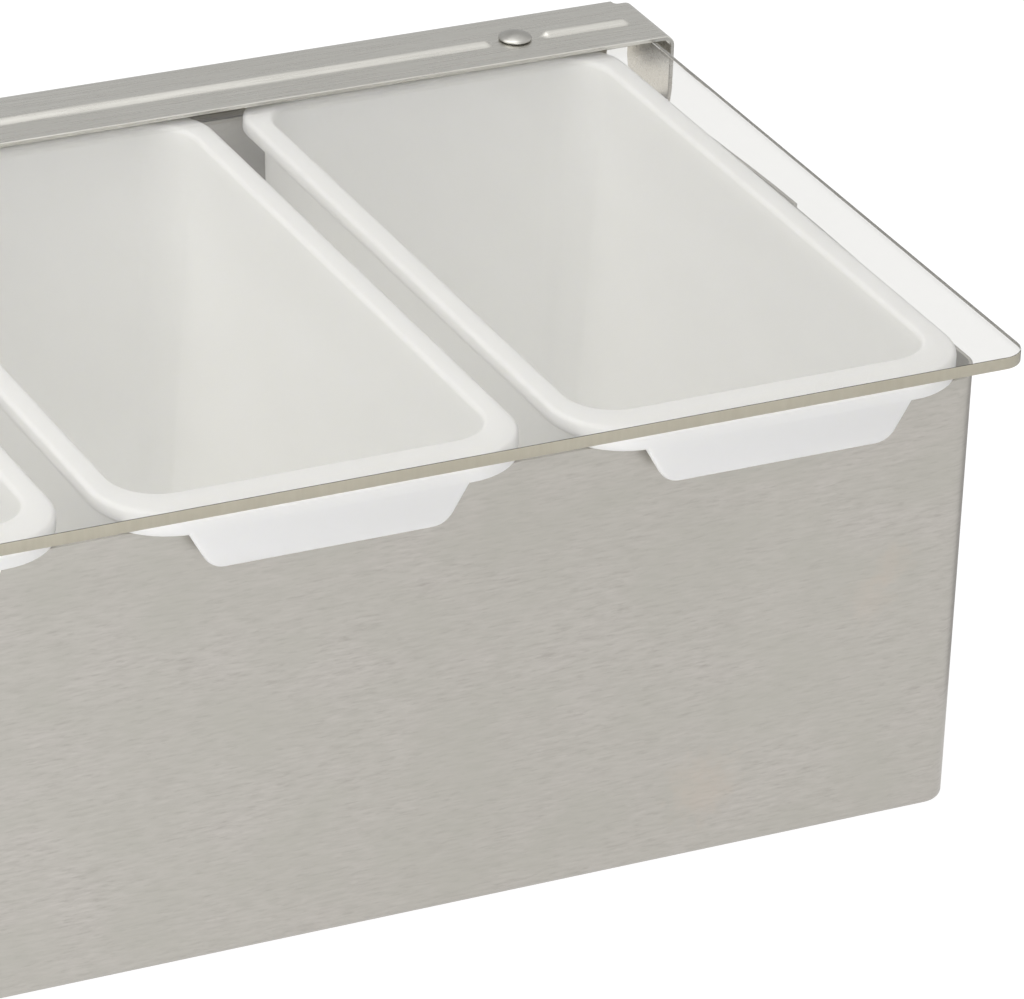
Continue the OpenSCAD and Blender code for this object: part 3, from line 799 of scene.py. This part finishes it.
def makeBar(s):
    half = barPattern(s)
    outline = half + [(-u, v) for u, v in reversed(half)]
    shape = bmesh.new()
    shape.faces.new([shape.verts.new((u, v, 0)) for u, v in outline])
    gap = s["beadGap"]
    inner = [(gap, rivetX - gap), (rivetX + gap, rivetX + gap + s["shortBead"])]
    runs = inner + [(-b, -a) for a, b in inner]
    cutsU, cutsV = set(), set()  # where the flat pattern is cut, at bends, beads and between
    arcLength = math.pi / 2 * s["bend"]
    for flat, cuts in ((barHigh.x - s["bend"], cutsU), (barHigh.y - s["bend"], cutsV)):
        cuts.update(flat + arcLength * i / 8 for i in range(9))
    for start, end in inner:
        for tip, inward in ((start, 1), (end, -1)):
            cutsU.update(tip + inward * s["beadHalf"] * (i / 9 - 0.1) for i in range(14))
    cutsU.update(s["barStep"] * i for i in range(1, 16))
    cutsU.update([-u for u in cutsU] + [0.0])
    cutsV.update(rivetY + s["beadHalf"] * i / 9 for i in range(-10, 11))
    cutsV.update(barHigh.y + s["flangeStep"] * i for i in range(1, 5))
    for values, normal in ((cutsU, (1, 0, 0)), (cutsV, (0, 1, 0))):
        for value in sorted(values):
            where = Vector(normal) * value
            everything = shape.verts[:] + shape.edges[:] + shape.faces[:]
            bmesh.ops.bisect_plane(shape, geom=everything, plane_co=where, plane_no=normal,
                                   dist=1e-6)
    shape.verts.ensure_lookup_table()
    for index, vert in enumerate(shape.verts):
        vert.index = index
    flat = [(vert.co.x, vert.co.y) for vert in shape.verts]
    tops = [[vert.index for vert in face.verts] for face in shape.faces]
    rim = {}
    for edge in shape.edges:
        if edge.is_boundary:
            loop = edge.link_loops[0]
            rim[loop.vert.index] = loop.link_loop_next.vert.index
    shape.free()
    before = {b: a for a, b in rim.items()}
    count, t, e = len(flat), s["thickness"], s["edge"]

    def outward(index):
        # mitred normal of the outline at one of its points
        ax, ay = flat[before[index]]
        bx, by = flat[index]
        cx, cy = flat[rim[index]]
        first = Vector((by - ay, ax - bx)).normalized()
        second = Vector((cy - by, bx - cx)).normalized()
        total = first + second
        return total / max(total.length_squared / 2, 0.5)

    def place(u, v, depth):
        lift = beadLift(u, v, runs, s)
        return foldSheet(u, v, lift + depth, s)

    verts = []
    for depth in (0.0, -t):
        for index, (u, v) in enumerate(flat):
            if index in rim:
                normal = outward(index)
                u, v = u - e * normal.x, v - e * normal.y
            verts.append(place(u, v, depth))
    ringOrder = {index: k for k, index in enumerate(rim)}
    for depth in (-e, -t + e):
        for index in rim:
            verts.append(place(*flat[index], depth))
    around = len(rim)
    faces = [tuple(face) for face in tops]
    faces += [tuple(count + i for i in reversed(face)) for face in tops]
    for a, b in rim.items():
        ka, kb = 2 * count + ringOrder[a], 2 * count + ringOrder[b]
        faces.append((b, a, ka, kb))
        faces.append((kb, ka, ka + around, kb + around))
        faces.append((kb + around, ka + around, count + a, count + b))
    piece = makePiece("hingeBar", verts, faces, [steel["bar"]])
    faceOutwards(piece)
    return piece


def roundCutter(places, radius, length, axis):
    # upright or lying cylinders, one for each hole
    verts, faces = [], []
    for centre in places:
        ring, loops = lathe([(radius, -length / 2), (radius, length / 2)], 40)
        base = len(verts)
        for x, y, z in ring:
            turned = (z, x, y) if axis == "X" else (x, y, z)
            verts.append(tuple(c + t for c, t in zip(centre, turned)))
        faces += [tuple(base + i for i in face) for face in loops]
    return makePiece("cutter", verts, faces, [])


cutterLength = 8 * mm
hingeBar = makeBar(barSheet)
cutWith(hingeBar, roundCutter([(x, rivetY, barTop) for x in (-rivetX, 0, rivetX)],
                              rivetHole, cutterLength, "Z"))
cutWith(hingeBar, roundCutter([(x, rodY, rodZ) for x in (barLow.x, barHigh.x)],
                              barSheet["boreRadius"], cutterLength, "X"))
smooth(hingeBar, 40)
put(hingeBar, "lid", "bar_steel", "hinge_bar")
print("hinge bar made:", len(hingeBar.data.polygons), "faces")


# rivets, rod, clips and caps

rivetShape = {
    "headRadius": 3.3 * mm, "brim": 0.6 * mm, "shank": 1.6 * mm,
    "tailRadius": 2.5 * mm, "tailHeight": 1.0 * mm, "tailEase": 0.25 * mm,
    "headEase": 0.15 * mm, "underEase": 0.4 * mm,
}
clipShape = {"width": 16 * mm, "thickness": 0.8 * mm, "foot": 4.6 * mm, "inset": 44 * mm,
             "fillet": 0.8 * mm, "fit": 0.04 * mm, "edge": 0.14 * mm}
capShape = {"radius": 3.7 * mm, "edge": 0.93 * mm, "wall": 0.9 * mm, "bore": 2.04 * mm,
            "chamfer": 0.2 * mm}
rodEdge = 0.25 * mm
poleRadius = 0.02 * mm  # a turned profile stops short of its axis
rowOfCopies = repeatTree()


def makeRivets(s):
    crown = headHeight - s["brim"]
    dome = (s["headRadius"] ** 2 + crown ** 2) / (2 * crown)
    half = math.asin((s["headRadius"] - s["headEase"]) / dome)
    profile = [(poleRadius, headHeight)]
    profile += [(dome * math.sin(half * i / 12),
                 headHeight - dome * (1 - math.cos(half * i / 12))) for i in range(1, 13)]
    profile += [(s["headRadius"], s["brim"] * 0.8), (s["headRadius"], s["brim"] * 0.5),
                (s["headRadius"] - s["underEase"], 0.0)]
    under = lidLow.z - barTop
    tail = s["tailHeight"]
    profile += [(s["shank"], 0.0), (s["shank"], under), (s["tailRadius"], under),
                (s["tailRadius"], under - tail * 0.6),
                (s["tailRadius"] - s["tailEase"], under - tail * 0.88),
                (s["tailRadius"] * 0.6, under - tail), (poleRadius, under - tail)]
    verts, faces = lathe(profile, 56)
    piece = makePiece("lidRivets", verts, faces, [steel["rivet"]])
    faceOutwards(piece)
    runTree(piece, rowOfCopies, {
        "Count": 3, "Start": (-rivetX, rivetY, barTop), "Step": (rivetX, 0, 0),
        "Turn": (0, 0, 0.7), "Material": steel["rivet"]})
    bakeModifiers(piece)
    smooth(piece, 40)
    return piece


def makeRod(edge):
    piece = makePiece("hingeRod", [(0, 0, 0)], [], [steel["rod"]])
    runTree(piece, wireTree(), {
        "Start": (rodLow.x, rodY, rodZ), "End": (rodHigh.x, rodY, rodZ),
        "Radius": (rodHigh.z - rodLow.z) / 2, "Material": steel["rod"]})
    bakeModifiers(piece)
    faceOutwards(piece)
    roundEdges(piece, edge, 2, 60)
    smooth(piece, 30)
    return piece


def makeClips(s):
    # saddle over the rod, in a section seen along X, measured from the rod's axis
    bore = (rodHigh.z - rodLow.z) / 2 + s["fit"]
    over = bore + s["thickness"]
    wall = boxHigh.y - rodY
    end = over + s["foot"]
    fillet = s["fillet"]  # inside radius where the saddle meets its feet
    foot = wall + s["thickness"]
    outer = [(wall, -end), (foot, -end), (foot, -over - fillet)]
    outer += arc(foot + fillet, -over - fillet, fillet, 180, 90, 5)[1:]
    outer += arc(0, 0, over, -90, 90, 28)
    outer += arc(foot + fillet, over + fillet, fillet, 270, 180, 5)
    outer += [(foot, end), (wall, end), (wall, bore)]
    outer += arc(0, 0, bore, 90, -90, 28)
    outer += [(wall, -bore)]
    rings = [[(x, y, z) for y, z in outer] for x in (-s["width"] / 2, s["width"] / 2)]
    verts, faces = skin(rings)
    piece = makePiece("rodClips", verts, faces, [steel["rod"]])
    faceOutwards(piece)
    roundEdges(piece, s["edge"], 2, 50)
    clipX = boxHigh.x - s["inset"]
    runTree(piece, rowOfCopies, {
        "Count": 2, "Start": (-clipX, rodY, rodZ), "Step": (2 * clipX, 0, 0),
        "Turn": (0, 0, 0), "Material": steel["rod"]})
    bakeModifiers(piece)
    smooth(piece, 40)
    return piece


def makeCaps(s):
    capLow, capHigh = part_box("rod_cap_left")
    length = capHigh.x - capLow.x
    r, e, c = s["radius"], s["edge"], s["chamfer"]
    # outside from the open end to the middle of the closed end, then back along the bore
    profile = [(s["bore"], 0.0), (r - c, 0.0), (r, c)]
    profile += [(r - e + e * math.cos(a), length - e + e * math.sin(a))
                for a in (math.pi / 2 * i / 8 for i in range(9))]
    profile += [(poleRadius, length)]
    inner = [(poleRadius, length - s["wall"]), (s["bore"] - c, length - s["wall"]),
             (s["bore"], length - s["wall"] - c)]
    verts, faces = lathe(inner + profile, 48)
    turned = [(-z, y, x) for x, y, z in verts]
    piece = makePiece("rodCaps", turned, faces, [steel["rivet"]])
    faceOutwards(piece)
    runTree(piece, rowOfCopies, {
        "Count": 2, "Start": (capHigh.x, rodY, rodZ), "Step": (-2 * capHigh.x, 0, 0),
        "Turn": (0, 0, math.pi), "Material": steel["rivet"]})
    bakeModifiers(piece)
    smooth(piece, 40)
    return piece


put(makeRivets(rivetShape), "lid", "rivet_steel",
    "lid_rivet_left", "lid_rivet_centre", "lid_rivet_right")
put(makeRod(rodEdge), "caddy", "rod_steel", "hinge_rod")
put(makeClips(clipShape), "caddy", "rod_steel", "rod_clip_left", "rod_clip_right")
put(makeCaps(capShape), "caddy", "rivet_steel", "rod_cap_left", "rod_cap_right")
print("rivets, rod, clips and caps made")


# stage, light and camera

stageLook = {
    "floorSize": 6.0, "floorColour": (0.86, 0.86, 0.855, 1), "floorRough": 0.9,
    "floorGlow": 1.2, "shadowShare": 0.22, "ambient": 0.31,
    "ambientColour": (1, 0.995, 0.985, 1), "background": (1, 1, 1, 1),
}
lampPlan = {  # place, size and power of each, all aimed at the frame's origin
    "keyLamp": ((-1.3, -0.2, 1.1), 1.6, 12.8),
    "topLamp": ((-0.25, -0.15, 1.4), 1.4, 10.6),
    "frontLamp": ((-0.5, -1.8, 0.8), 1.6, 9.1),
}
cardPlan = {  # centre, size, facing and level of each
    "rightCard": ((0.215, 0.12, 0.045), (0.4, 0.09), (-1, 0, 0), 0.55),
    "backCard": ((0.2, 0.40, 0.32), (1.6, 0.64), (0, -1, 0), 0.63),
}
cameraPlan = {
    "place": (boxHigh.x - 0.61287, boxLow.y - 1.00939, 0.66532),
    "azimuth": -27.157, "elevation": 27.228, "roll": 2.55,
    "lens": 253.05, "sensor": 36.0, "reach": 20.0,
}


def whiteRays(tree):
    # 1 for rays that should meet the white background
    path = tree.nodes.new("ShaderNodeLightPath")
    sight = combined(tree, "MAXIMUM", path.outputs["Is Camera Ray"], path.outputs["Is Glossy Ray"])
    return combined(tree, "MAXIMUM", sight, path.outputs["Is Transmission Ray"])


def rectangle(x, y):
    return [(-x, -y, 0), (x, -y, 0), (x, y, 0), (-x, y, 0)]


def makeFloor(s):
    half = s["floorSize"] / 2
    floor = makePiece("studioFloor", rectangle(half, half), [(0, 1, 2, 3)], [])
    material, tree, surface, output, _ = newMaterial("studioFloor")
    surface.inputs["Base Color"].default_value = s["floorColour"]
    surface.inputs["Roughness"].default_value = s["floorRough"]
    glow = addNode(tree, "ShaderNodeEmission", {
        "Color": s["background"], "Strength": s["floorGlow"]})
    share = combined(tree, "MULTIPLY", whiteRays(tree), 1 - s["shadowShare"])
    mixTo(tree, output, share, surface, glow)
    floor.data.materials.append(material)


def makeWorld(s):
    world = bpy.data.worlds.new("studio")
    bpy.context.scene.world = world
    world.use_nodes = True
    tree = world.node_tree
    tree.nodes.clear()
    output = tree.nodes.new("ShaderNodeOutputWorld")
    seen = addNode(tree, "ShaderNodeBackground", {"Color": s["background"], "Strength": 1.0})
    light = addNode(tree, "ShaderNodeBackground", {
        "Color": s["ambientColour"], "Strength": s["ambient"]})
    mixTo(tree, output, whiteRays(tree), light, seen)


def addLamp(name, place, size, power):
    data = bpy.data.lights.new(name, "AREA")
    data.shape, data.size, data.energy = "DISK", size, power
    lamp = bpy.data.objects.new(name, data)
    lamp.location = place
    lamp.rotation_euler = (-Vector(place)).to_track_quat("-Z", "Y").to_euler()
    lamp.visible_camera = lamp.visible_transmission = False
    bpy.context.scene.collection.objects.link(lamp)


def addCard(name, centre, size, normal, level):
    # a studio card that only reflections see
    corners = rectangle(size[0] / 2, size[1] / 2)
    card = makePiece(name, corners, [(0, 1, 2, 3)], [])
    turn = Vector(normal).to_track_quat("Z", "Y").to_matrix().to_4x4()
    card.data.transform(Matrix.Translation(centre) @ turn)
    material, tree, _, output, _ = newMaterial(name)
    glow = addNode(tree, "ShaderNodeEmission", {"Color": (level, level, level, 1)})
    tree.links.new(glow.outputs[0], output.inputs["Surface"])
    card.data.materials.append(material)
    card.visible_camera = card.visible_diffuse = card.visible_shadow = False
    card.visible_transmission = False


def addCamera(s):
    az, el, turn = (math.radians(s[angle]) for angle in ("azimuth", "elevation", "roll"))
    back = Vector((math.sin(az) * math.cos(el), -math.cos(az) * math.cos(el), math.sin(el)))
    right = Vector((math.cos(az), math.sin(az), 0))
    up = back.cross(right)
    tilted = math.cos(turn) * right + math.sin(turn) * up
    raised = -math.sin(turn) * right + math.cos(turn) * up
    data = bpy.data.cameras.new("camera")
    data.lens, data.sensor_width, data.clip_end = s["lens"], s["sensor"], s["reach"]
    data.dof.use_dof = False
    camera = bpy.data.objects.new("camera", data)
    pose = Matrix((tilted, raised, back)).transposed().to_4x4()
    camera.matrix_world = Matrix.Translation(s["place"]) @ pose
    bpy.context.scene.collection.objects.link(camera)
    bpy.context.scene.camera = camera


makeFloor(stageLook)
makeWorld(stageLook)
for name, plan in lampPlan.items():
    addLamp(name, *plan)
for name, plan in cardPlan.items():
    addCard(name, *plan)
addCamera(cameraPlan)
bpy.context.scene.view_settings.view_transform = "Standard"
print("stage, light and camera set")
